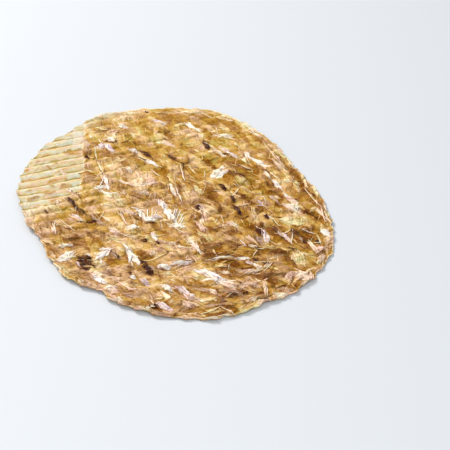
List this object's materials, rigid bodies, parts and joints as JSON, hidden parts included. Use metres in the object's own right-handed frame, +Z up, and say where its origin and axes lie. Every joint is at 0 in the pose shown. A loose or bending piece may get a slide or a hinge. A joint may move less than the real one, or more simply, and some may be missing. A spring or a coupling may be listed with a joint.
{
  "type": "dried filefish",
  "caption": "Round, thin, glazed sheet of dried filefish: overlapping fillets pressed together, ridged by a drying rack, with a torn rim; lies flat.",
  "frame": {"origin": "middle of the sheet's box seen from above, on the surface that the sheet lies on", "axes": "+Z up through the thin sheet, +X along the marks of the drying rack's bars, +Y across them"},
  "size_m": [0.2956, 0.2964, 0.0075],
  "materials": {
    "dried_fish": "translucent amber, sugar-glazed and glossy"
  },
  "bodies": {
    "root": {"dried_filefish_sheet": "dried_fish"}
  },
  "joints": []
}
